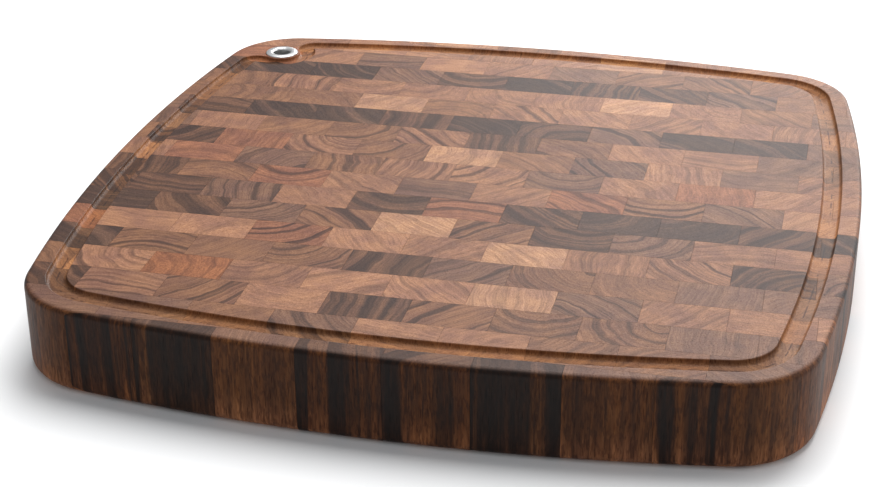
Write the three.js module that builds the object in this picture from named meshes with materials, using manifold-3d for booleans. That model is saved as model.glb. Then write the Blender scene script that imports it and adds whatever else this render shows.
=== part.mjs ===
// An end-grain cutting board: rows of upright wood blocks glued side by side into a nearly
// square slab with four bowed sides, a juice groove near its edge, and a steel-lined hanging
// hole in one corner that the groove steps around.
//
// Millimetres, +Z up. The origin is the middle of the underside, the rows run along X, and
// the hanging hole is in the -X +Y corner.

import * as THREE from 'three';
import { mergeVertices } from 'three/addons/utils/BufferGeometryUtils.js';
import Module from 'manifold-3d';

// Slab
const boardWidth = 406;
const boardDepth = 406;
const boardThickness = 44.5;
const sideBowRadius = 985;
const cornerRadius = 43.3;
const topEdgeRound = 3;
const bottomEdgeRound = 4.6;

// Rows of blocks. One glue line lies a little behind the middle of the board.
const rowPitch = 22.6;
const middleGlueLine = 12.9;
const glueLine = 0.1;
const thinnestRow = 4;

// Juice groove, shallow, with a flat floor and rounded lower corners
const grooveInset = 10.6;
const grooveWidth = 9.8;
const grooveDepth = 2.8;
const grooveFlat = 6;

// Hanging hole and its two flanged steel liners, one pressed in from each face
const holeFromSides = 43;
const holeDiameter = 10.8;
const linerWall = 0.9;
const linerReach = 16;
const flangeDiameter = 19.6;
const flangeThickness = 1.7;
const flangeSeat = 0.7;
const flangeEdgeRound = 0.8;
const mouthRound = 1.5;
const linerClearance = 0.3;
const undersideSetback = 0.4;

// The groove's way around the hanging hole. Its two tight turns leave a lip of this radius.
const grooveToFlange = 1.2;
const tightLipRadius = 0.9;

// Fineness of curves
const bowSteps = 12;
const cornerSteps = 8;
const roundSteps = 3;
const ringSteps = 40;
const detourSteps = 14;

const wasm = await Module();
wasm.setup();

function toSolid(geometry) {
  const bare = geometry.index ? geometry.toNonIndexed() : geometry.clone();
  bare.deleteAttribute('normal');
  bare.deleteAttribute('uv');
  const merged = mergeVertices(bare, 1e-3);
  return new wasm.Manifold(new wasm.Mesh({
    numProp: 3,
    vertProperties: merged.attributes.position.array,
    triVerts: new Uint32Array(merged.index.array),
  }));
}

function toGeometry(solid) {
  const mesh = solid.getMesh();
  const geometry = new THREE.BufferGeometry();
  geometry.setAttribute('position', new THREE.BufferAttribute(mesh.vertProperties, 3));
  geometry.setIndex(new THREE.BufferAttribute(mesh.triVerts, 1));
  geometry.computeVertexNormals();
  return geometry;
}

// Where two circles cross. Of the two points, the one further towards `wanted`.
function circlesMeet(centreA, radiusA, centreB, radiusB, wanted) {
  const between = centreB.clone().sub(centreA);
  const apart = between.length();
  const along = (radiusA ** 2 - radiusB ** 2 + apart ** 2) / (2 * apart);
  const across = Math.sqrt(Math.max(0, radiusA ** 2 - along ** 2));
  const unit = between.divideScalar(apart);
  const foot = centreA.clone().addScaledVector(unit, along);
  const sideways = new THREE.Vector2(-unit.y, unit.x).multiplyScalar(across);
  const one = foot.clone().add(sideways);
  const other = foot.clone().sub(sideways);
  return one.dot(wanted) > other.dot(wanted) ? one : other;
}

function angleFrom(centre, point) {
  return Math.atan2(point.y - centre.y, point.x - centre.x);
}

// The slab's four sides are arcs, each centred far across the board.
const halfWidth = boardWidth / 2;
const halfDepth = boardDepth / 2;
const bowCentres = {
  right: new THREE.Vector2(halfWidth - sideBowRadius, 0),
  back: new THREE.Vector2(0, halfDepth - sideBowRadius),
  left: new THREE.Vector2(sideBowRadius - halfWidth, 0),
  front: new THREE.Vector2(0, sideBowRadius - halfDepth),
};

// Corner arcs touch both sides from inside. Listed anticlockwise from front right.
const corners = [
  { from: 'front', to: 'right', towards: new THREE.Vector2(1, -1) },
  { from: 'right', to: 'back', towards: new THREE.Vector2(1, 1) },
  { from: 'back', to: 'left', towards: new THREE.Vector2(-1, 1) },
  { from: 'left', to: 'front', towards: new THREE.Vector2(-1, -1) },
].map((corner) => {
  const reach = sideBowRadius - cornerRadius;
  const centre = circlesMeet(bowCentres[corner.from], reach, bowCentres[corner.to], reach,
    corner.towards);
  return {
    ...corner,
    centre,
    start: angleFrom(bowCentres[corner.from], centre),
    end: angleFrom(bowCentres[corner.to], centre),
  };
});

// Points of an arc, from one angle to another by the shorter way, without its last point.
function arcPoints(centre, radius, start, end, steps) {
  let turn = end - start;
  if (turn > Math.PI) turn -= 2 * Math.PI;
  if (turn < -Math.PI) turn += 2 * Math.PI;
  const points = [];
  for (let i = 0; i < steps; i += 1) {
    const angle = start + turn * i / steps;
    points.push(new THREE.Vector2(
      centre.x + radius * Math.cos(angle),
      centre.y + radius * Math.sin(angle),
    ));
  }
  return points;
}

// The slab's outline, moved inwards by an inset.
function slabOutline(inset) {
  const points = [];
  corners.forEach((corner, i) => {
    const next = corners[(i + 1) % corners.length];
    points.push(...arcPoints(corner.centre, cornerRadius - inset, corner.start, corner.end,
      cornerSteps));
    points.push(...arcPoints(bowCentres[corner.to], sideBowRadius - inset, corner.end,
      next.start, bowSteps));
  });
  return points;
}

// The groove follows the outline, and turns in around the hanging hole between two tight
// turns, on a wide arc about the hole.
const hole = new THREE.Vector2(-halfWidth + holeFromSides, halfDepth - holeFromSides);
const grooveMiddle = grooveInset + grooveWidth / 2;
const aroundRadius = flangeDiameter / 2 + grooveToFlange + grooveWidth / 2;
const tightTurnRadius = grooveWidth / 2 + tightLipRadius;
const turnReach = sideBowRadius - grooveMiddle - tightTurnRadius;
const turnFromHole = aroundRadius + tightTurnRadius;
const backTurn = circlesMeet(bowCentres.back, turnReach, hole, turnFromHole,
  new THREE.Vector2(1, 0));
const leftTurn = circlesMeet(bowCentres.left, turnReach, hole, turnFromHole,
  new THREE.Vector2(0, -1));

// One lip of the groove: outside is positive, towards the board's edge.
function grooveLip(outside) {
  const inset = grooveMiddle - outside;
  const bowRadius = sideBowRadius - inset;
  const points = [];
  corners.forEach((corner, i) => {
    const next = corners[(i + 1) % corners.length];
    const isHoleCorner = corner.from === 'back' && corner.to === 'left';
    const nextIsHoleCorner = next.from === 'back' && next.to === 'left';
    let sideStart = corner.end;
    let sideEnd = next.start;
    if (isHoleCorner) {
      const arrive = angleFrom(bowCentres.back, backTurn);
      const leave = angleFrom(bowCentres.left, leftTurn);
      const holeArcStart = angleFrom(hole, backTurn);
      const holeArcEnd = angleFrom(hole, leftTurn);
      const turnRadius = tightTurnRadius + outside;
      points.push(...arcPoints(backTurn, turnRadius, arrive, holeArcStart + Math.PI,
        cornerSteps));
      points.push(...arcPoints(hole, aroundRadius - outside, holeArcStart, holeArcEnd,
        detourSteps));
      points.push(...arcPoints(leftTurn, turnRadius, holeArcEnd + Math.PI, leave,
        cornerSteps));
      sideStart = leave;
    } else {
      points.push(...arcPoints(corner.centre, cornerRadius - inset, corner.start,
        corner.end, cornerSteps));
    }
    if (nextIsHoleCorner) sideEnd = angleFrom(bowCentres.back, backTurn);
    points.push(...arcPoints(bowCentres[corner.to], bowRadius, sideStart, sideEnd,
      bowSteps));
  });
  return points;
}

// A prism of the slab's outline with rounded rims at both ends.
function roundedPrism(bottom, top, rimRound) {
  const geometry = new THREE.ExtrudeGeometry(new THREE.Shape(slabOutline(0)), {
    depth: top - bottom - 2 * rimRound,
    bevelEnabled: true,
    bevelThickness: rimRound,
    bevelSize: rimRound,
    bevelOffset: -rimRound,
    bevelSegments: roundSteps,
  });
  geometry.translate(0, 0, bottom + rimRound);
  return toSolid(geometry);
}

// The slab is what two prisms share: one gives the top rim, the other the bottom rim.
function makeSlab() {
  const spare = boardThickness / 2;
  const topRim = roundedPrism(-spare, boardThickness, topEdgeRound);
  const bottomRim = roundedPrism(0, boardThickness + spare, bottomEdgeRound);
  return topRim.intersect(bottomRim);
}

// A band between the two lips whose lower rim is rounded down to the floor.
function makeGrooveCutter() {
  const band = new THREE.Shape(grooveLip(grooveWidth / 2));
  band.holes.push(new THREE.Path(grooveLip(-grooveWidth / 2)));
  const sideways = (grooveWidth - grooveFlat) / 2;
  const geometry = new THREE.ExtrudeGeometry(band, {
    depth: grooveDepth,
    bevelEnabled: true,
    bevelThickness: grooveDepth,
    bevelSize: sideways,
    bevelOffset: -sideways,
    bevelSegments: roundSteps + 1,
  });
  geometry.translate(0, 0, boardThickness);
  return toSolid(geometry);
}

function makeDrill(diameter, bottom, top) {
  const geometry = new THREE.CylinderGeometry(diameter / 2, diameter / 2, top - bottom,
    ringSteps);
  geometry.rotateX(Math.PI / 2);
  geometry.translate(hole.x, hole.y, (bottom + top) / 2);
  return toSolid(geometry);
}

// Bore for the liners, with a shallow seat for the flange at each face.
function makeHoleCutter() {
  const boreDiameter = holeDiameter + 2 * (linerWall + linerClearance);
  const seatDiameter = flangeDiameter + 2 * linerClearance;
  const seatDepth = flangeSeat + linerClearance;
  const undersideSeat = flangeThickness + undersideSetback + linerClearance;
  const past = 5;
  return makeDrill(boreDiameter, -past, boardThickness + past)
    .add(makeDrill(seatDiameter, boardThickness - seatDepth, boardThickness + past))
    .add(makeDrill(seatDiameter, -past, undersideSeat));
}

// Glue lines, from the front of the board to the back.
function glueLines() {
  const lines = [];
  const first = Math.ceil((-halfDepth + thinnestRow - middleGlueLine) / rowPitch);
  const last = Math.floor((halfDepth - thinnestRow - middleGlueLine) / rowPitch);
  for (let i = first; i <= last; i += 1) {
    lines.push(middleGlueLine + i * rowPitch);
  }
  return lines;
}

// One row: the part of the shaped slab between two glue lines.
function makeRow(shaped, front, back) {
  const geometry = new THREE.BoxGeometry(boardWidth * 2, back - front, boardThickness * 3);
  geometry.translate(0, (front + back) / 2, boardThickness / 2);
  return toGeometry(shaped.intersect(toSolid(geometry)));
}

// A quarter round of a profile, from one angle to another, both ends included.
function roundPoints(x, y, radius, from, to) {
  const points = [];
  for (let i = 0; i <= roundSteps; i += 1) {
    const angle = from + (to - from) * i / roundSteps;
    points.push(new THREE.Vector2(x + radius * Math.cos(angle), y + radius * Math.sin(angle)));
  }
  return points;
}

// A flanged liner that stands on its sleeve, its flange uppermost with the top face at 0.
function linerGeometry() {
  const inner = holeDiameter / 2;
  const sleeve = inner + linerWall;
  const rim = flangeDiameter / 2;
  const bottom = -flangeThickness - linerReach;
  const profile = [
    new THREE.Vector2(inner, bottom),
    new THREE.Vector2(sleeve, bottom),
    new THREE.Vector2(sleeve, -flangeThickness),
    new THREE.Vector2(rim, -flangeThickness),
    ...roundPoints(rim - flangeEdgeRound, -flangeEdgeRound, flangeEdgeRound, 0, Math.PI / 2),
    ...roundPoints(inner + mouthRound, -mouthRound, mouthRound, Math.PI / 2, Math.PI),
    new THREE.Vector2(inner, bottom),
  ];
  const geometry = new THREE.LatheGeometry(profile, ringSteps);
  geometry.rotateX(Math.PI / 2);
  return toGeometry(toSolid(geometry));
}

const woodTones = [0x7d5a40, 0x6b4a34, 0x8a6548, 0x5c4030, 0x94704f];

function woodMaterial(index) {
  return new THREE.MeshStandardMaterial({
    color: woodTones[index % woodTones.length],
    roughness: 0.5,
    metalness: 0,
  });
}

const steel = new THREE.MeshStandardMaterial({
  color: 0xc9cac8,
  roughness: 0.18,
  metalness: 1,
});

function namedMesh(name, geometry, material) {
  const mesh = new THREE.Mesh(geometry, material);
  mesh.name = name;
  return mesh;
}

const board = new THREE.Group();

const shaped = makeSlab().subtract(makeGrooveCutter()).subtract(makeHoleCutter());
const lines = glueLines();
const rows = new THREE.Group();
for (let i = 0; i <= lines.length; i += 1) {
  const back = i === 0 ? boardDepth : lines[lines.length - i] - glueLine / 2;
  const front = i === lines.length ? -boardDepth : lines[lines.length - 1 - i] + glueLine / 2;
  const number = String(i + 1).padStart(2, '0');
  rows.add(namedMesh(`block_row_${number}`, makeRow(shaped, front, back), woodMaterial(i)));
}
board.add(rows);

const topLiner = namedMesh('hanging_hole_liner_top', linerGeometry(), steel);
topLiner.position.set(hole.x, hole.y, boardThickness + flangeThickness - flangeSeat);
board.add(topLiner);

const bottomLiner = namedMesh('hanging_hole_liner_bottom', linerGeometry(), steel);
bottomLiner.rotation.x = Math.PI;
bottomLiner.position.set(hole.x, hole.y, undersideSetback);
board.add(bottomLiner);

export default board;
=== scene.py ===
# %% [markdown]
# # An end-grain cutting board
#
# This board is a thick, nearly square slab of upright wood blocks. The cutting face is their
# end grain, so it shows rings and not long fibres. The blocks stand in rows like bricks, a
# groove near the edge catches juice, and a steel-lined hole in one corner takes a hook.
# The imported model gives every piece's place. It is loaded first, and its box is kept.

import math
import random

import bmesh
import bpy
from mathutils import Matrix, Vector
from mathutils.kdtree import KDTree


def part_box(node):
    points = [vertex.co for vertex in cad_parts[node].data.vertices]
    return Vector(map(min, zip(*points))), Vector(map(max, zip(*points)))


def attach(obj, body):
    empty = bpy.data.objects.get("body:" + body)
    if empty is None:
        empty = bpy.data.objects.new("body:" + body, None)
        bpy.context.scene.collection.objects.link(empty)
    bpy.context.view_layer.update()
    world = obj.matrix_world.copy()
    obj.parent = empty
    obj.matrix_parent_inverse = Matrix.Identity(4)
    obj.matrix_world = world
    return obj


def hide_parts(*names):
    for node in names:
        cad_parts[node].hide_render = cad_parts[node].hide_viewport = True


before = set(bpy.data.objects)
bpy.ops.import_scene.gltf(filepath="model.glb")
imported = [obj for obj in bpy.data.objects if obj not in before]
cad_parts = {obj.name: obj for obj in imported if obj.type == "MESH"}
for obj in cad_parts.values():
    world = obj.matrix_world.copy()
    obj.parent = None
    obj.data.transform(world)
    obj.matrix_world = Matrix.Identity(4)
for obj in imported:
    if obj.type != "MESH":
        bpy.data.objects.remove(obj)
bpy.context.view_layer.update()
ROWS = sorted(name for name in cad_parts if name.startswith("block_row_"))
LINERS = ["hanging_hole_liner_top", "hanging_hole_liner_bottom"]
print(len(ROWS), "rows of blocks and", len(LINERS), "liners")

# %% [markdown]
# ## Sizes
#
# A maker works in millimetres and Blender in metres, so sizes are written as a number times MM.
# The board's width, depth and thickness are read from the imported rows. What a box can't tell,
# such as the bow of a side or the radius of a cutter, is named here as the maker would name it.

# %% Sizes
MM = 0.001

middle_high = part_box("block_row_10")[1]
back_row_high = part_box(ROWS[0])[1]
HALF_WIDTH = middle_high.x
HALF_DEPTH = back_row_high.y
THICKNESS = middle_high.z

SIDE_BOW = 985 * MM
CORNER = 43.3 * MM
TOP_ROUND = 3 * MM
BOTTOM_ROUND = 4.6 * MM

GROOVE_INSET = 10.6 * MM
GROOVE_WIDTH = 9.8 * MM
GROOVE_DEPTH = 2.8 * MM
GROOVE_CORNER = 2 * MM
GROOVE_LIP = 0.6 * MM

HOLE = Vector((-HALF_WIDTH + 43 * MM, HALF_DEPTH - 43 * MM))
HOLE_RADIUS = 5.4 * MM
LINER_WALL = 0.9 * MM
FLANGE_RADIUS = 9.8 * MM
FLANGE_THICKNESS = 1.7 * MM
LINER_CLEARANCE = 0.3 * MM
TIGHT_LIP = 0.9 * MM
GROOVE_TO_FLANGE = 1.2 * MM

BLOCK_LENGTH = 40.4 * MM
GLUE = 0.1 * MM
print(f"slab {HALF_WIDTH * 2 / MM:.1f} x {HALF_DEPTH * 2 / MM:.1f} x {THICKNESS / MM:.1f} mm")

# %% [markdown]
# ## Camera
#
# The camera comes early, so that every later step can be judged in the picture. It stands in
# front of the board, a little to the right and above it, and is rolled by half a degree. It is
# placed by an angle around, an angle up and a distance from the middle of the cutting face,
# which is easier to think about than three coordinates. Two small shifts then centre the view.

# %% Camera
AROUND = math.radians(13.46)
ABOVE = math.radians(26.24)
ROLL = math.radians(-0.54)
DISTANCE = 0.9977
AIM_ASIDE = -0.0215
AIM_UP = -0.0365
LENS = 76.42

back = Vector((math.sin(AROUND) * math.cos(ABOVE), -math.cos(AROUND) * math.cos(ABOVE),
               math.sin(ABOVE)))
level = Vector((math.cos(AROUND), math.sin(AROUND), 0))
upright = back.cross(level)
right = level * math.cos(ROLL) + upright * math.sin(ROLL)
up = upright * math.cos(ROLL) - level * math.sin(ROLL)

camera_data = bpy.data.cameras.new("camera")
camera_data.lens = LENS
camera = bpy.data.objects.new("camera", camera_data)
bpy.context.scene.collection.objects.link(camera)
spot = Vector((0, 0, THICKNESS)) + back * DISTANCE + right * AIM_ASIDE + up * AIM_UP
turn = Matrix((right, up, back)).transposed().to_4x4()
camera.matrix_world = Matrix.Translation(spot) @ turn
bpy.context.scene.camera = camera
print("camera at", [round(c, 3) for c in spot])

# %% [markdown]
# ## The outline
#
# Each side is one long, shallow arc, and each corner is a small arc that meets two sides
# without a kink. An arc that touches another from inside has its centre where two circles
# cross, so one helper finds crossings and another walks along an arc. The same outline, moved
# inwards by an inset, gives the rims, and later the middle of the groove.

# %% Helpers for arcs
def circles_meet(centre_a, radius_a, centre_b, radius_b, wanted):
    """Where two circles cross: of the two points, the one further towards wanted."""
    between = centre_b - centre_a
    apart = between.length
    along = (radius_a ** 2 - radius_b ** 2 + apart ** 2) / (2 * apart)
    across = math.sqrt(max(0, radius_a ** 2 - along ** 2))
    unit = between / apart
    sideways = Vector((-unit.y, unit.x)) * across
    foot = centre_a + unit * along
    return max(foot + sideways, foot - sideways, key=lambda point: point.dot(wanted))


def angle_from(centre, point):
    return math.atan2(point.y - centre.y, point.x - centre.x)


def arc_points(centre, radius, start, end, steps):
    """Points along an arc by the shorter way, without its last point."""
    sweep = (end - start + math.pi) % (2 * math.pi) - math.pi
    angles = [start + sweep * i / steps for i in range(steps)]
    return [centre + Vector((math.cos(a), math.sin(a))) * radius for a in angles]


# %% The slab's outline
BOW_STEPS = 48
CORNER_STEPS = 32
BOW_CENTRES = {
    "right": Vector((HALF_WIDTH - SIDE_BOW, 0)),
    "back": Vector((0, HALF_DEPTH - SIDE_BOW)),
    "left": Vector((SIDE_BOW - HALF_WIDTH, 0)),
    "front": Vector((0, SIDE_BOW - HALF_DEPTH)),
}
CORNER_TURNS = [
    ("front", "right", Vector((1, -1))),
    ("right", "back", Vector((1, 1))),
    ("back", "left", Vector((-1, 1))),
    ("left", "front", Vector((-1, -1))),
]


def corner_arc(side, next_side, towards):
    """A corner's centre and the angles at which its arc starts and ends."""
    reach = SIDE_BOW - CORNER
    centre = circles_meet(BOW_CENTRES[side], reach, BOW_CENTRES[next_side], reach, towards)
    start = angle_from(BOW_CENTRES[side], centre)
    return centre, start, angle_from(BOW_CENTRES[next_side], centre)


CORNERS = [corner_arc(*corner) for corner in CORNER_TURNS]


def slab_outline(inset):
    points = []
    for i, (centre, start, end) in enumerate(CORNERS):
        side = CORNER_TURNS[i][1]
        next_start = CORNERS[(i + 1) % len(CORNERS)][1]
        points += arc_points(centre, CORNER - inset, start, end, CORNER_STEPS)
        points += arc_points(BOW_CENTRES[side], SIDE_BOW - inset, end, next_start, BOW_STEPS)
    return points


print("outline of", len(slab_outline(0)), "points")

# %% [markdown]
# ## The blank slab
#
# Before any cutting the slab is a stack of outlines: full size at mid height, and drawn in
# along a quarter round at the top rim and a larger one at the bottom rim. Skinning the stack
# with faces gives even, smooth rims, which a bevel tool may make less evenly at the corners.

# %% Helpers for meshes
def add_object(name, mesh):
    made = bpy.data.objects.new(name, mesh)
    bpy.context.scene.collection.objects.link(made)
    return made


def mesh_from(name, points, faces=(), edges=()):
    mesh = bpy.data.meshes.new(name)
    mesh.from_pydata([tuple(point) for point in points], list(edges), list(faces))
    mesh.validate()
    return mesh


def face_outwards(mesh):
    work = bmesh.new()
    work.from_mesh(mesh)
    bmesh.ops.recalc_face_normals(work, faces=work.faces)
    work.to_mesh(mesh)
    work.free()


def skin(rings, close_ends):
    """Points and faces of a stack of rings, each with the same number of points."""
    count = len(rings[0])
    points = [point for ring in rings for point in ring]
    last = len(rings) - 1 if close_ends else len(rings)
    faces = []
    for level_now in range(last):
        low = level_now * count
        high = (level_now + 1) % len(rings) * count
        for i in range(count):
            j = (i + 1) % count
            faces.append((low + i, low + j, high + j, high + i))
    if close_ends:
        faces.append(tuple(reversed(range(count))))
        faces.append(tuple(range(last * count, (last + 1) * count)))
    return points, faces


# %% The blank slab
ROUND_STEPS = 8
wood = bpy.data.materials.new("end_grain_wood")
steel = bpy.data.materials.new("polished_steel")


def rim_levels():
    """Pairs of inset and height, from the underside up to the cutting face."""
    quarter = [math.pi / 2 * i / ROUND_STEPS for i in range(ROUND_STEPS + 1)]
    lower = [(BOTTOM_ROUND * (1 - math.sin(a)), BOTTOM_ROUND * (1 - math.cos(a)))
             for a in quarter]
    upper = [(TOP_ROUND * (1 - math.cos(a)), THICKNESS - TOP_ROUND * (1 - math.sin(a)))
             for a in quarter]
    return lower + upper


rings = [[Vector((p.x, p.y, height)) for p in slab_outline(inset)]
         for inset, height in rim_levels()]
slab = add_object("slab", mesh_from("slab", *skin(rings, close_ends=True)))
slab.data.materials.append(wood)
face_outwards(slab.data)
print("blank slab of", len(slab.data.polygons), "faces")

# %% [markdown]
# ## Building with Geometry Nodes
#
# Two things on this board follow a rule: the groove is one cutter shape carried along a path,
# and a row is one block repeated at an even spacing. Both are made by node trees, so their
# sizes are named inputs. The helpers below make a tree, add nodes to it, run it on an object
# and turn the result into a plain mesh.

# %% Helpers for Geometry Nodes
class Tree:
    """A Geometry Nodes tree that is built line by line."""

    def __init__(self, name, inputs):
        self.tree = bpy.data.node_groups.new(name, "GeometryNodeTree")
        face = self.tree.interface
        face.new_socket("Geometry", in_out="OUTPUT", socket_type="NodeSocketGeometry")
        face.new_socket("Geometry", in_out="INPUT", socket_type="NodeSocketGeometry")
        for title, kind in inputs.items():
            face.new_socket(title, in_out="INPUT", socket_type="NodeSocket" + kind)
        self.start = self.tree.nodes.new("NodeGroupInput")

    def given(self, title):
        return self.start.outputs[title]

    def node(self, kind, settings=None, sockets=None, out=0):
        made = self.tree.nodes.new(kind)
        for key, value in (settings or {}).items():
            setattr(made, key, value)
        for key, value in (sockets or {}).items():
            if isinstance(value, bpy.types.NodeSocket):
                self.tree.links.new(value, made.inputs[key])
            else:
                made.inputs[key].default_value = value
        return made.outputs[out]

    def vector(self, x=0.0, y=0.0, z=0.0):
        return self.node("ShaderNodeCombineXYZ", sockets={"X": x, "Y": y, "Z": z})

    def finish(self, geometry):
        real = self.node("GeometryNodeRealizeInstances", sockets={"Geometry": geometry})
        coated = self.node("GeometryNodeSetMaterial",
                           sockets={"Geometry": real, "Material": self.given("Material")})
        end = self.tree.nodes.new("NodeGroupOutput")
        self.tree.links.new(coated, end.inputs["Geometry"])
        return self.tree


def plain_mesh(made, name):
    """The mesh of an object with its modifiers applied."""
    bpy.context.view_layer.update()
    seen = made.evaluated_get(bpy.context.evaluated_depsgraph_get())
    mesh = bpy.data.meshes.new_from_object(seen)
    mesh.name = name
    return mesh


def run_tree(tree, made, **values):
    """Runs a tree on an object once, and leaves the result as the object's own mesh."""
    modifier = made.modifiers.new(tree.name, "NODES")
    modifier.node_group = tree
    for item in tree.interface.items_tree:
        key = item.name.replace(" ", "_").lower()
        if item.in_out == "INPUT" and key in values:
            modifier[item.identifier] = values[key]
    mesh = plain_mesh(made, made.name)
    made.modifiers.remove(modifier)
    made.data = mesh
    return made


def cut(made, tool, operation):
    """Joins, cuts or crosses a solid with a tool that is then thrown away."""
    modifier = made.modifiers.new("cut", "BOOLEAN")
    modifier.object = tool
    modifier.operation = operation
    modifier.solver = "MANIFOLD"
    mesh = plain_mesh(made, made.name)
    made.modifiers.remove(modifier)
    made.data = mesh
    return made


print("helpers ready")

# %% [markdown]
# ## The juice groove
#
# A router follows a template that runs parallel to the edge. Its cutter has a flat end with
# rounded corners. In the hole's corner the template steps inwards: a tight turn, a wide arc
# about the hole, and a second tight turn. Sanding leaves both lips slightly round. The tool
# for the cut is a tube: the cutter's section, with flared shoulders for the soft lips, carried
# along the path.

# %% The groove's path
GROOVE_HALF = GROOVE_WIDTH / 2
GROOVE_MIDDLE = GROOVE_INSET + GROOVE_HALF
AROUND_HOLE = FLANGE_RADIUS + GROOVE_TO_FLANGE + GROOVE_HALF
TIGHT_TURN = GROOVE_HALF + TIGHT_LIP
TURN_STEPS = 24
DETOUR_STEPS = 48
turn_reach = SIDE_BOW - GROOVE_MIDDLE - TIGHT_TURN
turn_from_hole = AROUND_HOLE + TIGHT_TURN
BACK_TURN = circles_meet(BOW_CENTRES["back"], turn_reach, HOLE, turn_from_hole,
                         Vector((1, 0)))
LEFT_TURN = circles_meet(BOW_CENTRES["left"], turn_reach, HOLE, turn_from_hole,
                         Vector((0, -1)))
ARRIVE = angle_from(BOW_CENTRES["back"], BACK_TURN)
LEAVE = angle_from(BOW_CENTRES["left"], LEFT_TURN)


def detour():
    """The way around the hanging hole, from the back side to the left side."""
    first = angle_from(HOLE, BACK_TURN)
    last = angle_from(HOLE, LEFT_TURN)
    return (arc_points(BACK_TURN, TIGHT_TURN, ARRIVE, first + math.pi, TURN_STEPS)
            + arc_points(HOLE, AROUND_HOLE, first, last, DETOUR_STEPS)
            + arc_points(LEFT_TURN, TIGHT_TURN, last + math.pi, LEAVE, TURN_STEPS))


def groove_path():
    points = []
    for i, (centre, start, end) in enumerate(CORNERS):
        side = CORNER_TURNS[i][1]
        side_start = end
        side_end = CORNERS[(i + 1) % len(CORNERS)][1]
        if side == "left":
            points += detour()
            side_start = LEAVE
        else:
            points += arc_points(centre, CORNER - GROOVE_MIDDLE, start, end, CORNER_STEPS)
        if side == "back":
            side_end = ARRIVE
        points += arc_points(BOW_CENTRES[side], SIDE_BOW - GROOVE_MIDDLE, side_start,
                             side_end, BOW_STEPS)
    return [Vector((p.x, p.y, THICKNESS)) for p in points]


path_points = groove_path()
print("groove path of", len(path_points), "points")

# %% The cutter's section
CORNER_PARTS = 10
LIP_PARTS = 4
CLEAR_ABOVE = 2 * MM


def quarter(centre_x, centre_y, across, down, start, parts):
    """A quarter of an ellipse, clockwise from an angle in degrees, both ends included."""
    points = []
    for i in range(parts + 1):
        a = math.radians(start - 90 * i / parts)
        points.append((centre_x + across * math.cos(a), centre_y + down * math.sin(a)))
    return points


def cutter_section():
    """A soft lip, then a tall rounded corner down to a flat floor, on both sides."""
    lip = list(reversed(quarter(
        GROOVE_HALF + GROOVE_LIP, -GROOVE_LIP, GROOVE_LIP, GROOVE_LIP, 180, LIP_PARTS)))
    corner_depth = GROOVE_DEPTH - GROOVE_LIP
    corner = quarter(GROOVE_HALF - GROOVE_CORNER, -GROOVE_LIP, GROOVE_CORNER, corner_depth,
                     0, CORNER_PARTS)
    right_half = [(lip[0][0], CLEAR_ABOVE)] + lip + corner[1:]
    return right_half + [(-x, y) for x, y in reversed(right_half)]


def loop(name, points):
    count = len(points)
    return add_object(name, mesh_from(name, points,
                                      edges=[(i, (i + 1) % count) for i in range(count)]))


section = loop("cutter_section", [(x, -y, 0) for x, y in cutter_section()])
print("cutter section of", len(section.data.vertices), "points")


# %% The groove's tool
def groove_tree():
    """Carries a section along the path in the tree's own geometry."""
    tree = Tree("juice groove", {"Section": "Object", "Material": "Material"})
    path = tree.node("GeometryNodeMeshToCurve", sockets={"Mesh": tree.given("Geometry")})
    path = tree.node("GeometryNodeSetCurveNormal", {"mode": "Z_UP"}, {"Curve": path})
    outline = tree.node("GeometryNodeObjectInfo", sockets={"Object": tree.given("Section")},
                        out="Geometry")
    profile = tree.node("GeometryNodeMeshToCurve", sockets={"Mesh": outline})
    tube = tree.node("GeometryNodeCurveToMesh", sockets={"Curve": path,
                                                         "Profile Curve": profile})
    return tree.finish(tube)


groove_tool = run_tree(groove_tree(), loop("groove_tool", path_points), section=section,
                       material=wood)
face_outwards(groove_tool.data)
low_z = min(v.co.z for v in groove_tool.data.vertices)
print(f"groove {(THICKNESS - low_z) / MM:.2f} mm deep,", len(groove_tool.data.polygons), "faces")

# %% [markdown]
# ## The hanging hole
#
# A drill makes the bore, and a wider, shallow seat at each face takes a liner's flange. All
# three are turned shapes on one axis, so one stepped profile spun about it makes the tool.
# The same helper spins the liners later.

# %% A helper for turned pieces
RING_STEPS = 96


def turned(name, profile, closed):
    """Spins pairs of radius and height about the hole's axis. A radius of 0 is a pole."""
    points = []
    rows_of = []
    for radius, height in profile:
        if radius == 0:
            rows_of.append([len(points)] * RING_STEPS)
            points.append((HOLE.x, HOLE.y, height))
            continue
        rows_of.append(list(range(len(points), len(points) + RING_STEPS)))
        for i in range(RING_STEPS):
            a = 2 * math.pi * i / RING_STEPS
            points.append((HOLE.x + radius * math.cos(a), HOLE.y + radius * math.sin(a), height))
    pairs = list(zip(rows_of, rows_of[1:]))
    if closed:
        pairs.append((rows_of[-1], rows_of[0]))
    faces = []
    for one, other in pairs:
        for i in range(RING_STEPS):
            j = (i + 1) % RING_STEPS
            corners = [one[i], one[j], other[j], other[i]]
            faces.append(tuple(dict.fromkeys(corners)))
    made = add_object(name, mesh_from(name, points, faces))
    face_outwards(made.data)
    return made


# %% Cut the groove and the hole
PAST = 5 * MM
bore = HOLE_RADIUS + LINER_WALL + LINER_CLEARANCE
seat = FLANGE_RADIUS + LINER_CLEARANCE
top_liner_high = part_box(LINERS[0])[1]
bottom_liner_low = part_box(LINERS[1])[0]
top_seat = top_liner_high.z - FLANGE_THICKNESS - LINER_CLEARANCE
bottom_seat = bottom_liner_low.z + FLANGE_THICKNESS + LINER_CLEARANCE

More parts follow.
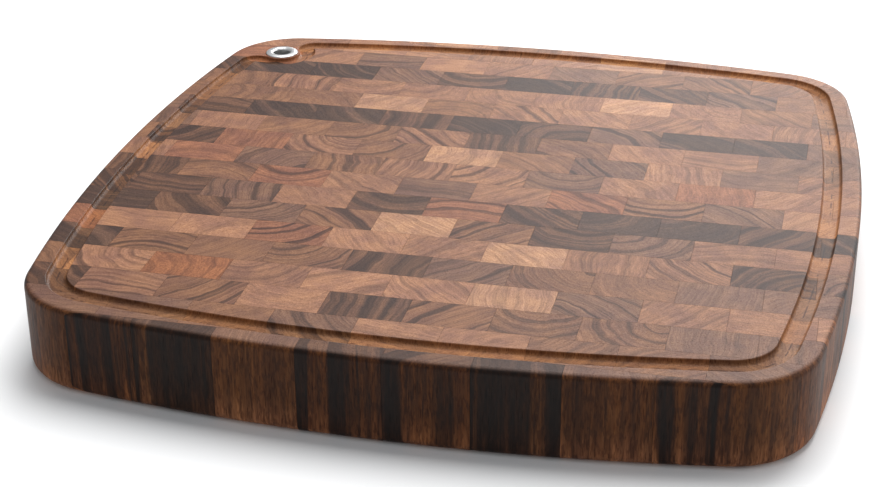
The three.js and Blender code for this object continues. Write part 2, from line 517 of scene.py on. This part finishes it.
drill = turned("drill", [(0, -PAST), (seat, -PAST), (seat, bottom_seat), (bore, bottom_seat),
                         (bore, top_seat), (seat, top_seat), (seat, THICKNESS + PAST),
                         (0, THICKNESS + PAST)], closed=False)
drill.data.materials.append(wood)
cut(slab, groove_tool, "DIFFERENCE")
cut(slab, drill, "DIFFERENCE")
print("shaped slab of", len(slab.data.polygons), "faces")

# %% [markdown]
# ## The lay-up
#
# The blocks run from nearly black to pale wood, and in each the growth rings run another way. A
# maker lays the blocks out before glueing, so the lay-up is written out here, one line for each
# row from the back to the front. A line starts with the place of the row's first joint in
# millimetres. Then comes each block from left to right, as a wood letter and a figure mark,
# starting with the block to the left of that joint.
#
# Wood: k almost black, d dark, p greyish purple brown, m middle, r reddish, o orange, l light,
# t tan, y pale. A capital letter has bold dark rings. Figure: | - / \ say which way the lines
# of the rings run, seen from above, with a pith far away. A digit says that the pith is close,
# and on which side: 0 right, then anticlockwise in eighths of a turn. No mark leaves it to chance.

# %% The lay-up
LAY_UP = [
    (-108.8, r"t t y m| t l/ t t"),
    (-163.5, r"t l/ t- t- l| t/ y- l| t/ t"),
    (-189.3, r"r- r- l/ P- t- l/ p\ M/ M\ m/ m/"),
    (-172.8, r"d\ K\ K\ P\ d2 k\ d| d\ P\ m- m-"),
    (-191.5, r"p/ m4 L| l2 l3 l1 l| y/ l1 m\ p-"),
    (-171.7, r"m- m4 m5 y/ m6 L\ t\ l/ l\ l| l|"),
    (-191.8, r"p- d- K\ k\ D| k\ D7 P\ k\ k\ p\ "),
    (-176.7, r"p| l| m/ M3 L\ D| M\ l\ l- p/ p/"),
    (-194.3, r"m d3 r| L1 M3 y4 m\ P\ t| p- l/"),
    (-174.9, r"l| r6 P7 M| L| T3 P2 l\ r| l/ l/"),
    (-199.2, r"p| d| M6 R2 l\ P- l/ R\ M2 P\ t/"),
    (-178.8, r"d\ D- P| l\ D2 R- D\ K3 k3 D/ k\ "),
    (-199.9, r"d- k- D\ P3 M\ y\ M/ D2 P3 l- l-"),
    (-178.8, r"r\ t- t7 R3 t\ l/ y\ L| L\ D7 P7"),
    (-162.0, r"k\ M6 m/ M3 d| P/ M1 m1 p| p/"),
    (-176.3, r"m\ T1 o4 l3 t/ t\ y| P\ l/ l- t"),
    (-161.0, r"d\ L- M/ t2 d| M/ M2 M1 p| p|"),
    (-181.0, r"p p- p- m/ P\ t- l/ m/ m/ p\ m"),
    (-161.6, r"d| D| K| p| D| D/ K| p| P/ p| p"),
]
layout = dict(zip(ROWS, LAY_UP))
print(sum(len(codes.split()) for _, codes in LAY_UP), "blocks")


# %% [markdown]
# ## The rows of blocks
#
# A row is a line of upright boxes with a hair of glue between them. The tree places the boxes
# at an even spacing, and crossing them with the shaped slab gives every block its share of the
# bowed side, the rims, the groove and the bore. The blocks stay separate shells in one piece
# for each row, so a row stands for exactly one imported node.

# %% The row tree
def row_tree():
    tree = Tree("row of blocks", {
        "Block Length": "Float", "Block Depth": "Float", "Block Height": "Float",
        "Spacing": "Float", "First Middle": "Vector", "Count": "Int",
        "Material": "Material"})
    size = tree.vector(tree.given("Block Length"), tree.given("Block Depth"),
                       tree.given("Block Height"))
    block = tree.node("GeometryNodeMeshCube", sockets={"Size": size})
    step = tree.vector(tree.given("Spacing"))
    line = tree.node("GeometryNodeMeshLine", {"mode": "OFFSET"},
                     {"Count": tree.given("Count"), "Start Location": tree.given("First Middle"),
                      "Offset": step})
    blocks = tree.node("GeometryNodeInstanceOnPoints",
                       sockets={"Points": line, "Instance": block})
    return tree.finish(blocks)


blocks_in_a_row = row_tree()

# %% Make the rows
PAST_BOARD = 20 * MM


def make_row(name, first_joint, codes):
    """One row of blocks, crossed with the shaped slab."""
    low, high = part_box(name)
    back_row = name == ROWS[0]
    front_row = name == ROWS[-1]
    low_y = low.y - (PAST_BOARD if front_row else 0)
    high_y = high.y + (PAST_BOARD if back_row else 0)
    start = Vector((first_joint - BLOCK_LENGTH / 2, (low_y + high_y) / 2, THICKNESS / 2))
    row = add_object(name.replace("block_row", "row") + "_blocks",
                     bpy.data.meshes.new(name + "_mesh"))
    run_tree(blocks_in_a_row, row, block_length=BLOCK_LENGTH - GLUE, block_depth=high_y - low_y,
             block_height=THICKNESS * 2, spacing=BLOCK_LENGTH, first_middle=start,
             count=len(codes), material=wood)
    return cut(row, slab, "INTERSECT")


row_pieces = {}
for name, (first_joint, line) in layout.items():
    row_pieces[name] = make_row(name, first_joint * MM, line.split())
print({name: len(piece.data.polygons) for name, piece in row_pieces.items()})

# %% [markdown]
# ## What each block carries
#
# Every block needs its own wood, its own pith and its own rings, but one material should serve
# them all. So each block's facts are stored on its points, where the material can read them:
# the wood's colour, where the pith stands, and how bold and how wide the rings are. The colours
# are written as a paint program shows them, from 0 to 255. OILED darkens them all by one factor,
# as oil does, and it was chosen together with the strength of the key lamp. A dark wood also has
# broader bands.
#
# The groove is coloured by a second fact, because its walls and floor are more golden than the
# face, and painted light brightens them as well. It holds how far down in the groove a point lies,
# and its distance from the groove's middle, where thin dark dashes show. Two passes of a cutter
# may meet there.

# %% Woods
WOODS = {
    "k": (131, 97, 79),
    "d": (137, 98, 76),
    "p": (154, 115, 95),
    "m": (166, 120, 92),
    "r": (178, 121, 93),
    "o": (184, 120, 82),
    "l": (184, 135, 107),
    "t": (198, 147, 116),
    "y": (218, 168, 133),
}
OILED = 0.65
DARK_SHARE = {"k": 0.17, "d": 0.07}
FAR_PITH = 110 * MM
NEAR_PITH = 26 * MM
LINES_TOWARDS = {"|": 0, "-": 90, "/": 135, "\\": 45}
EIGHTH_TURN = 45
RING_WIDTH_RANGE = (4.5, 9)
SEED_RANGE = (0, 100)
draw = random.Random(11)


def to_linear(value):
    share = value / 255
    return share / 12.92 if share <= 0.04045 else ((share + 0.055) / 1.055) ** 2.4


def pith_of(mark, middle):
    """Where the pith of a block stands, from its figure mark."""
    if mark.isdigit():
        angle = math.radians(int(mark) * EIGHTH_TURN + draw.uniform(-12, 12))
        away = NEAR_PITH * draw.uniform(0.8, 1.2)
    else:
        angle = math.radians(LINES_TOWARDS.get(mark, draw.uniform(0, 180))
                             + draw.choice((0, 180)) + draw.uniform(-10, 10))
        away = FAR_PITH * draw.uniform(0.6, 1.3)
    return middle + Vector((math.cos(angle), math.sin(angle))) * away


def block_facts(code, middle):
    """A block's colour, pith and rings, as the material reads them."""
    letter, mark = code[0], code[1:]
    oiled = OILED * draw.uniform(0.95, 1.05)
    colour = [to_linear(value) * oiled for value in WOODS[letter.lower()]]
    pith = pith_of(mark, middle)
    dark_share = DARK_SHARE.get(letter.lower(), 0)
    bold = letter.isupper() or dark_share > 0
    boldness = draw.uniform(0.75, 1.0) if bold else draw.uniform(0.2, 0.5)
    ring_width = draw.uniform(*RING_WIDTH_RANGE) * (1 + 4 * dark_share)
    return {"wood_colour": (*colour, 1), "pith": (pith.x, pith.y, draw.uniform(*SEED_RANGE)),
            "rings": (boldness, ring_width * MM, dark_share)}


# %% Write the facts on the blocks
PARTS = 4
SLACK = 0.1 * MM
SKIN = 0.01 * MM
FULLY_CUT = 0.4 * MM
near_groove = KDTree(len(path_points) * PARTS)
for i, point in enumerate(path_points):
    following = path_points[(i + 1) % len(path_points)]
    for part in range(PARTS):
        between = point.lerp(following, part / PARTS)
        near_groove.insert((between.x, between.y, 0), i * PARTS + part)
near_groove.balance()
GROOVE_REACH = GROOVE_HALF + GROOVE_LIP + SLACK
KINDS = {"wood_colour": ("FLOAT_COLOR", "color"), "pith": ("FLOAT_VECTOR", "vector"),
         "rings": ("FLOAT_VECTOR", "vector")}


def groove_facts(point):
    """How far a point lies down in the groove, from 0 to 1, and how far from its middle."""
    depth = THICKNESS - point.z
    if depth < SKIN or depth > GROOVE_DEPTH + SLACK:
        return 0, 0, 0
    index, away = near_groove.find((point.x, point.y, 0))[1:]
    if away > GROOVE_REACH:
        return 0, 0, 0
    here = path_points[index // PARTS]
    onwards = path_points[(index // PARTS + 1) % len(path_points)] - here
    side = onwards.x * (point.y - here.y) - onwards.y * (point.x - here.x)
    return min(1, depth / FULLY_CUT), math.copysign(away, side), 0


def write_facts(piece, first_joint, row_middle, codes):
    """Stores each block's facts on the block's points."""
    mesh = piece.data
    facts = [block_facts(code, Vector((first_joint + BLOCK_LENGTH * (i - 0.5), row_middle)))
             for i, code in enumerate(codes)]
    own = [facts[math.floor((vertex.co.x - first_joint) / BLOCK_LENGTH) + 1]
           for vertex in mesh.vertices]
    for key, (kind, field) in KINDS.items():
        layer = mesh.attributes.new(key, kind, "POINT")
        layer.data.foreach_set(field, [number for block in own for number in block[key]])
    in_groove = mesh.attributes.new("in_groove", "FLOAT_VECTOR", "POINT")
    in_groove.data.foreach_set("vector", [number for vertex in mesh.vertices
                                          for number in groove_facts(vertex.co)])


for name, (first_joint, line) in layout.items():
    low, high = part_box(name)
    write_facts(row_pieces[name], first_joint * MM, (low.y + high.y) / 2, line.split())
print("facts written on", sum(len(p.data.vertices) for p in row_pieces.values()), "points")

# %% [markdown]
# ## Even shading
#
# Cutting leaves large flat faces beside narrow rounded ones. Smooth shading would bend light
# across the flats, so sharp edges are marked by angle, and the Weighted Normal modifier lets
# the large faces keep their own direction.

# %% Smooth the rounds and keep the flats flat
SHARP_FROM = math.radians(32)


def shade(piece):
    piece.data.shade_smooth()
    piece.data.set_sharp_from_angle(angle=SHARP_FROM)
    modifier = piece.modifiers.new("even shading", "WEIGHTED_NORMAL")
    modifier.keep_sharp = True
    mesh = plain_mesh(piece, piece.name)
    piece.modifiers.remove(modifier)
    piece.data = mesh


for piece in row_pieces.values():
    shade(piece)
print("shaded", len(row_pieces), "rows")

# %% [markdown]
# ## The steel liners
#
# A turned liner with a polished flange is pressed into the hole from the top. A matching one
# underneath is assumed, since it would keep the wood from wearing there too. The flange rises
# gently from its rim to a soft crown and rolls over into the bore. Only its profile needs
# drawing, and the lathe helper spins it.

# %% The liner's profile
PROFILE_STEPS = 10
RIM_ROUND = 0.55 * MM
MOUTH_ROUND = 1.5 * MM
CROWN_RISE = 0.35 * MM
CROWN_WIDTH = 0.5 * MM
LINER_CHAMFER = 0.3 * MM
SLOPE_SHARES = (0.8, 0.6, 0.4, 0.2, 0)


def rounded(centre_r, centre_z, radius, start, end):
    """A round in a profile, as pairs of radius and height."""
    points = []
    for i in range(PROFILE_STEPS + 1):
        a = math.radians(start + (end - start) * i / PROFILE_STEPS)
        points.append((centre_r + radius * math.cos(a), centre_z + radius * math.sin(a)))
    return points


def liner_profile(reach):
    """Pairs of radius and height, with the flange's top at 0 and the sleeve below it."""
    sleeve = HOLE_RADIUS + LINER_WALL
    crown = HOLE_RADIUS + MOUTH_ROUND + CROWN_WIDTH
    rim = rounded(FLANGE_RADIUS - RIM_ROUND, -CROWN_RISE - RIM_ROUND, RIM_ROUND, 0, 90)
    fall = FLANGE_RADIUS - RIM_ROUND - crown
    slope = [(crown + fall * share, -CROWN_RISE * share ** 2) for share in SLOPE_SHARES]
    mouth = rounded(HOLE_RADIUS + MOUTH_ROUND, -MOUTH_ROUND, MOUTH_ROUND, 90, 180)
    foot = [(HOLE_RADIUS, -reach), (sleeve - LINER_CHAMFER, -reach),
            (sleeve, -reach + LINER_CHAMFER)]
    under_flange = [(sleeve, -FLANGE_THICKNESS),
                    (FLANGE_RADIUS - LINER_CHAMFER, -FLANGE_THICKNESS),
                    (FLANGE_RADIUS, -FLANGE_THICKNESS + LINER_CHAMFER)]
    return foot + under_flange + rim + slope + mouth


# %% Make the liners
def make_liner(node, name):
    low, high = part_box(node)
    profile = liner_profile(high.z - low.z)
    if low.z > 0:
        placed = [(radius, high.z + height) for radius, height in profile]
    else:
        placed = [(radius, low.z - height) for radius, height in profile]
    return turned(name, placed, closed=True)


liner_pieces = {
    LINERS[0]: make_liner(LINERS[0], "liner_top"),
    LINERS[1]: make_liner(LINERS[1], "liner_bottom"),
}
for piece in liner_pieces.values():
    piece.data.materials.append(steel)
    shade(piece)
print("liners of", [len(p.data.polygons) for p in liner_pieces.values()], "faces")

# %% [markdown]
# ## Materials as expressions
#
# A node tree is easier to read as arithmetic. One small class wraps a socket, so that adding
# or multiplying two of them makes the Math nodes, and one method adds any other node with its
# settings and its sockets.

# %% A shader written as expressions
class Signal:
    """A number that varies over the surface. Arithmetic on it adds Math nodes."""

    def __init__(self, shader, socket):
        self.shader = shader
        self.socket = socket

    def math(self, operation, *others):
        return self.shader.node("ShaderNodeMath", {"operation": operation},
                                dict(enumerate((self, *others))))

    def swapped(self, operation, other):
        """The same with the other value first."""
        return self.shader.node("ShaderNodeMath", {"operation": operation}, {0: other, 1: self})

    def __add__(self, other):
        return self.math("ADD", other)

    def __mul__(self, other):
        return self.math("MULTIPLY", other)

    def __sub__(self, other):
        return self.math("SUBTRACT", other)

    def __rsub__(self, other):
        return self.swapped("SUBTRACT", other)

    def __truediv__(self, other):
        return self.math("DIVIDE", other)

    def __rtruediv__(self, other):
        return self.swapped("DIVIDE", other)

    __radd__ = __add__
    __rmul__ = __mul__

    def between(self, low, high):
        """0 at low and below, 1 at high and above, with a soft turn at both ends."""
        return self.shader.node("ShaderNodeMapRange",
                                {"interpolation_type": "SMOOTHSTEP"},
                                {"Value": self, "From Min": low, "From Max": high})


class Shader:
    """A material's node tree around one Principled BSDF."""

    def __init__(self, material):
        material.use_nodes = True
        self.tree = material.node_tree
        self.bsdf = self.tree.nodes["Principled BSDF"]

    def connect(self, node, key, value):
        if isinstance(value, Signal):
            self.tree.links.new(value.socket, node.inputs[key])
        else:
            node.inputs[key].default_value = value

    def node(self, kind, settings=None, sockets=None, out=0):
        made = self.tree.nodes.new(kind)
        for key, value in (settings or {}).items():
            setattr(made, key, value)
        for key, value in (sockets or {}).items():
            self.connect(made, key, value)
        return Signal(self, made.outputs[out])

    def attribute(self, name, out="Fac"):
        return self.node("ShaderNodeAttribute", {"attribute_name": name}, out=out)

    def vector(self, operation, a, b=(0, 0, 0), out=0):
        return self.node("ShaderNodeVectorMath", {"operation": operation}, {0: a, 1: b}, out)

    def scaled(self, vector, share):
        return self.node("ShaderNodeVectorMath", {"operation": "SCALE"},
                         {0: vector, "Scale": share})

    def split(self, vector, axis):
        return self.node("ShaderNodeSeparateXYZ", sockets={"Vector": vector}, out=axis)

    def joined(self, x=0.0, y=0.0, z=0.0):
        return self.node("ShaderNodeCombineXYZ", sockets={"X": x, "Y": y, "Z": z})

    def noise(self, where, scale, detail=2.0, rough=0.5, out="Fac"):
        return self.node("ShaderNodeTexNoise", sockets={
            "Vector": where, "Scale": scale, "Detail": detail, "Roughness": rough}, out=out)

    def noise_along(self, where, scale, detail=2.0, rough=0.5):
        return self.node("ShaderNodeTexNoise", {"noise_dimensions": "1D"}, {
            "W": where, "Scale": scale, "Detail": detail, "Roughness": rough}, out="Fac")

    def mix(self, share, one, other, blend="MIX"):
        return self.node("ShaderNodeMix", {"data_type": "RGBA", "blend_type": blend},
                         {0: share, 6: one, 7: other}, out=2)

    def tinted(self, share, colour, tint):
        """The colour multiplied by a tint, as far as the share says."""
        return self.mix(share, colour, tint, "MULTIPLY")

    def surface(self, **values):
        for key, value in values.items():
            self.connect(self.bsdf, key.replace("_", " "), value)


print("shader helpers ready")

# %% [markdown]
# ## Oiled end grain
#
# End grain is a section across a bundle of tubes. Around the pith the tree laid down growth
# rings, and among them broad, darker bands, so colour depends on the distance from the pith,
# wavering a little. An image of wood could be wrapped round the slab instead, but then the top
# and the sides wouldn't meet at the rim. A solid pattern goes right through each block.
#
# First the material reads the facts on the block. The third number of the pith is the block's
# seed, which moves the pattern, so that no two blocks look the same.

# %% What the wood material reads
HALF = (0.5, 0.5, 0.5)
PAINTED_RIM_SHADE_FULL = 0.7
END_FACE_FULL = 0.995
w = Shader(wood)
place = w.node("ShaderNodeTexCoord", out="Object")
facing = w.node("ShaderNodeNewGeometry", out="Normal")
pith = w.attribute("pith", out="Vector")
rings = w.attribute("rings", out="Vector")
wood_colour = w.attribute("wood_colour", out="Color")
groove = w.attribute("in_groove", out="Vector")
carved = w.split(groove, 0)
off_middle = w.split(groove, 1).math("ABSOLUTE")

seed = w.split(pith, 2)
boldness = w.split(rings, 0)
ring_width = w.split(rings, 1)
dark_share = w.split(rings, 2)
# The side colour takes over early on the rounded rims, so they darken with painted shade as well
# as with the long grain the rounds expose.
end_face_past_rim_shade = w.split(facing, 2).math("ABSOLUTE").between(PAINTED_RIM_SHADE_FULL, END_FACE_FULL)
print("facts read, with", len(w.tree.nodes), "nodes")

# %% [markdown]
# ## Distance from the pith
#
# The pattern is squeezed along Z, because wood changes much more slowly along the tree than
# across it. Two wavers bend the rings, one slow and wide and one quick and fine. Without them
# the rings would be perfect circles.

# %% Distance from the pith
ALONG_GRAIN = 0.09
SLOW_SCALE = 32
QUICK_SCALE = 170
SLOW_REACH = 12 * MM
QUICK_REACH = 1.4 * MM
squeezed = w.vector("MULTIPLY", place, (1, 1, ALONG_GRAIN))
own_place = w.vector("ADD", squeezed, w.joined(z=seed))
slow_waver = w.vector("SUBTRACT", w.noise(own_place, SLOW_SCALE, 2, 0.5, out="Color"), HALF)
quick_waver = w.vector("SUBTRACT", w.noise(own_place, QUICK_SCALE, 2, 0.5, out="Color"), HALF)
waver = w.vector("ADD", w.scaled(slow_waver, SLOW_REACH), w.scaled(quick_waver, QUICK_REACH))
from_pith = w.vector("SUBTRACT", w.vector("ADD", squeezed, waver), pith)
flat_from_pith = w.vector("MULTIPLY", from_pith, (1, 1, 0))
radius = w.vector("LENGTH", flat_from_pith, out="Value")
towards = w.vector("NORMALIZE", flat_from_pith)
print("rings bend by up to about", round(SLOW_REACH / 2 / MM), "mm")

# %% [markdown]
# ## Rings, streaks and pores
#
# Each layer of the grain is a noise with its own scale. Bands and lines follow the radius
# alone. Streaks run along the rings, so their noise is stretched in that direction. Clouds
# change a block's tone from one end to the other. Grit and pores are the open tubes: dots on
# the cutting face, and fine long marks down the sides because of the squeeze along Z.

# %% Grain layers
LINE_SPACING = 2.4 * MM
STREAK_SPACING = 0.8 * MM
STREAKS_AROUND = 9.0
STREAKS_UP = 500
CLOUD_SCALE = 55
GRIT_SCALE = 1500
PORE_SCALE = 900
broad_band = w.noise_along(radius / ring_width + seed, 1.0, 3, 0.55)
broad_band = (broad_band + dark_share).between(0.46, 0.68)
ring_lines = w.noise_along(radius / LINE_SPACING + seed, 1.0, 3, 0.65).between(0.32, 0.72)
height_share = w.split(squeezed, 2) * STREAKS_UP
along_ring = w.vector("ADD", w.scaled(towards, STREAKS_AROUND), w.joined(x=height_share))
streak_place = w.vector("ADD", along_ring, w.joined(z=radius / STREAK_SPACING + seed))
streaks = w.noise(streak_place, 1.0, 3, 0.65).between(0.3, 0.7)
cloud = w.noise(own_place, CLOUD_SCALE, 3, 0.6).between(0.3, 0.7)
grit = w.noise(own_place, GRIT_SCALE, 2, 0.75).between(0.36, 0.66)
pore_cells = w.node("ShaderNodeTexVoronoi", {"feature": "F1"},
                    {"Vector": own_place, "Scale": PORE_SCALE}, out="Distance")
pores = 1 - pore_cells.between(0.1, 0.3)
print("grain layers made, with", len(w.tree.nodes), "nodes")

# %% [markdown]
# ## The colour of the cutting face
#
# Each layer multiplies the block's own colour by a tint, as thin washes of stain do. A tint
# below 1 darkens, and one above 1 lightens. Bold blocks show their bands and lines most.

# %% Face colour
CLOUD_DARK = (0.80, 0.76, 0.82, 1)
CLOUD_PALE = (1.16, 1.14, 1.02, 1)
BAND_TINT = (0.32, 0.29, 0.30, 1)
LINE_TINT = (0.66, 0.60, 0.57, 1)
STREAK_TINT = (0.78, 0.73, 0.70, 1)
PALE_STREAK = (1.15, 1.14, 1.11, 1)
GRIT_TINT = (0.62, 0.54, 0.48, 1)
PORE_TINT = (0.42, 0.32, 0.26, 1)
colour = w.tinted(1.0, wood_colour, w.mix(cloud, CLOUD_DARK, CLOUD_PALE))
colour = w.tinted(broad_band * boldness, colour, BAND_TINT)
colour = w.tinted(ring_lines * (0.35 + boldness * 0.55), colour, LINE_TINT)
colour = w.tinted(1.0, colour, w.mix(streaks, PALE_STREAK, STREAK_TINT))
colour = w.tinted(grit * 0.75, colour, GRIT_TINT)
colour = w.tinted(pores * 0.7, colour, PORE_TINT)
print("face colour has six layers")

# %% [markdown]
# ## The colour of the groove
#
# The groove is more golden than the face, and painted light brightens it too, in place of light on
# its shaded walls and floor. Thin dark dashes run along its middle, and small dark flecks are
# scattered over it. Both read the same fact, so they stay inside the groove.

# %% Groove colour
DASH_SCALE = 130
SPOT_SCALE = 420
GOLDEN_AND_PAINTED_LIGHT = (1.24, 1.14, 0.80, 1)
CUTTER_TINT = (0.34, 0.24, 0.18, 1)
DASH_HALF = 0.15 * MM
DASH_FADE = 0.6 * MM
dashes = w.noise(place, DASH_SCALE, 2, 0.7).between(0.45, 0.6)
overlap = (1 - off_middle.between(DASH_HALF, DASH_FADE)) * dashes * carved
flecks = w.noise(place, SPOT_SCALE, 2, 0.7).between(0.55, 0.68) * carved
# Painted light: the golden tint is above 1, so besides giving the groove its own more golden tone
# it brightens its shaded walls and floor.
end_colour = w.tinted(carved, colour, GOLDEN_AND_PAINTED_LIGHT)
end_colour = w.tinted(overlap, end_colour, CUTTER_TINT)
end_colour = w.tinted(flecks * 0.4, end_colour, CUTTER_TINT)
print("groove colour ready")

# %% [markdown]
# ## The colour of the sides
#
# The sides are long grain: they show stripes down the block and short dark marks where tubes are
# cut along their length. They are darker than the face, partly as long grain is and partly by
# painted shade standing in for the little light that reaches them. Towards the underside painted
# light makes them paler and bluer, standing in for light bounced up from the floor, and painted
# shade makes them a little darker above; a gentle change with height gives that.

# %% Side colour
FLECK_TINT = (0.50, 0.44, 0.40, 1)
PAINTED_BOUNCE_LIGHT = (1.7, 1.85, 2.5, 1)
PAINTED_UPPER_SHADE = (0.80, 0.78, 0.74, 1)
PALE_SIDE_AND_SHADE = (1.16, 0.86, 0.42, 1)
DARK_SIDE_AND_SHADE = (0.30, 0.20, 0.10, 1)
STRIPE_STRETCH = (1, 1, 0.5)
STRIPE_SCALE = 230
VESSEL_STRETCH = (1, 1, 2.5)
VESSEL_SCALE = 700
stripe_place = w.vector("MULTIPLY", own_place, STRIPE_STRETCH)
long_stripes = w.noise(stripe_place, STRIPE_SCALE, 4, 0.7)
stripe_share = long_stripes.between(0.36, 0.62) * (0.4 + boldness * 0.6)
# The stripe tints carry painted shade as well as the long grain's darker colour, standing in for
# the little light that reaches the sides.
side_colour_and_shade = w.tinted(1.0, colour, w.mix(stripe_share, PALE_SIDE_AND_SHADE, DARK_SIDE_AND_SHADE))
side_colour_and_shade = w.tinted(broad_band * boldness, side_colour_and_shade, BAND_TINT)
vessel_place = w.vector("MULTIPLY", own_place, VESSEL_STRETCH)
vessels = w.noise(vessel_place, VESSEL_SCALE, 2, 0.6).between(0.48, 0.60)
side_colour_and_shade = w.tinted(vessels * 0.85, side_colour_and_shade, FLECK_TINT)
# Painted light and shade: the sides grow paler and bluer towards the underside, in place of light
# bounced up from the floor, and a little darker above.
height = w.split(place, 2) / THICKNESS
painted_bounce_and_shade = w.mix(height.between(0.05, 0.45), PAINTED_BOUNCE_LIGHT, PAINTED_UPPER_SHADE)
side_colour_and_shade = w.tinted(1.0, side_colour_and_shade, painted_bounce_and_shade)
colour = w.mix(end_face_past_rim_shade.math("MAXIMUM", carved), side_colour_and_shade, end_colour)
print("side colour ready")

# %% [markdown]
# ## The feel of the wood
#
# Oil leaves a satin shine. Pores and lines sit a hair lower than the wood around them, so the
# bump reads the same layers as the colour. The depth is far too small to be worth geometry.

# %% Wood surface
relief = 0.5 - pores * 0.5 - ring_lines * 0.15 - streaks * 0.15
bump = w.node("ShaderNodeBump", sockets={"Strength": 0.3, "Distance": 0.15 * MM,
                                         "Height": relief}, out="Normal")
satin = 0.5 + grit * 0.1 + pores * 0.15
w.surface(Base_Color=colour, Roughness=satin, Normal=bump)
w.surface(Specular_IOR_Level=0.2)
print("wood has", len(w.tree.nodes), "nodes")

# %% [markdown]
# ## Polished steel
#
# A liner polished on the lathe keeps hair-fine circles around its axis and a slightly cloudy
# shine. The circles come from the distance to the hole's axis.

# %% Steel material
CLEAN_STEEL = (0.80, 0.80, 0.79, 1)
SMEARED_STEEL = (0.70, 0.70, 0.70, 1)
LATHE_SPACING = 0.12 * MM
s = Shader(steel)
place = s.node("ShaderNodeTexCoord", out="Object")
off_axis = s.vector("SUBTRACT", place, (HOLE.x, HOLE.y, 0))
from_axis = s.vector("LENGTH", s.vector("MULTIPLY", off_axis, (1, 1, 0)), out="Value")
lathe_lines = s.noise_along(from_axis / LATHE_SPACING, 1.0, 2, 0.6)
smears = s.noise(place, 300, 3, 0.6)
bump = s.node("ShaderNodeBump", sockets={"Strength": 0.08, "Distance": 0.02 * MM,
                                         "Height": lathe_lines}, out="Normal")
steel_colour = s.mix(smears.between(0.35, 0.7), CLEAN_STEEL, SMEARED_STEEL)
s.surface(Base_Color=steel_colour, Roughness=0.22 + smears * 0.14 + lathe_lines * 0.06,
          Normal=bump)
s.surface(Metallic=1.0)
print("steel has", len(s.tree.nodes), "nodes")

# %% [markdown]
# ## Joining the frame
#
# Each Blender piece rides on the imported body and stands for its imported node. The shaped slab
# and the tools have done their work and are removed.

# %% Ride, replace and clear away
for node, piece in row_pieces.items():
    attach(piece, "root")
    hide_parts(node)
for node, piece in liner_pieces.items():
    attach(piece, "root")
    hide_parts(node)
for tool in (slab, section, groove_tool, drill):
    bpy.data.objects.remove(tool)
print(len(row_pieces) + len(liner_pieces), "pieces ride on the board")

# %% [markdown]
# ## Floor and light
#
# The board lies on a plain white floor under studio light. A big soft lamp hangs high, a little
# behind the board, so that the front side falls into shade. A low panel behind gives the satin
# face its haze, and a weak one on the right brightens that side. The floor is hidden from diffuse
# light rays, so it doesn't brighten the board's sides from below as a real one would; painted
# light low on the sides stands in for that.

# %% Floor
FLOOR_HALF = 6
floor = add_object("floor", mesh_from("floor", [
    (-FLOOR_HALF, -FLOOR_HALF, 0), (FLOOR_HALF, -FLOOR_HALF, 0),
    (FLOOR_HALF, FLOOR_HALF, 0), (-FLOOR_HALF, FLOOR_HALF, 0)], [(0, 1, 2, 3)]))
floor.location.z = -0.2 * MM
floor.visible_diffuse = False
paper = bpy.data.materials.new("white_paper")
paper.use_nodes = True
paper_surface = paper.node_tree.nodes["Principled BSDF"]
paper_surface.inputs["Base Color"].default_value = (0.9, 0.9, 0.9, 1)
paper_surface.inputs["Roughness"].default_value = 0.9
floor.data.materials.append(paper)

# %% Light
SKY_COLOUR = (0.95, 0.97, 1, 1)
SKY_STRENGTH = 0.42
PANELS = [
    ("key", (0.05, 0.72, 1.85), 1.4, 1.4, 48),
    ("back panel", (0.5, 2.4, 0.6), 2.2, 0.7, 44),
    ("right panel", (2.0, 0.5, 0.7), 1.5, 1.0, 9),
]
world = bpy.data.worlds.new("studio")
bpy.context.scene.world = world
world.use_nodes = True
sky = world.node_tree.nodes["Background"]
sky.inputs["Color"].default_value = SKY_COLOUR
sky.inputs["Strength"].default_value = SKY_STRENGTH


def add_panel(name, place, width, height, power):
    """A soft rectangular lamp that looks at the middle of the board's underside."""
    data = bpy.data.lights.new(name, "AREA")
    data.shape = "RECTANGLE"
    data.size = width
    data.size_y = height
    data.energy = power
    lamp = add_object(name, data)
    lamp.location = place
    lamp.rotation_euler = (-Vector(place)).to_track_quat("-Z", "Y").to_euler()


for panel in PANELS:
    add_panel(*panel)

settings = bpy.context.scene.view_settings
settings.view_transform = "Standard"
settings.look = "None"
print("floor and lights in place")
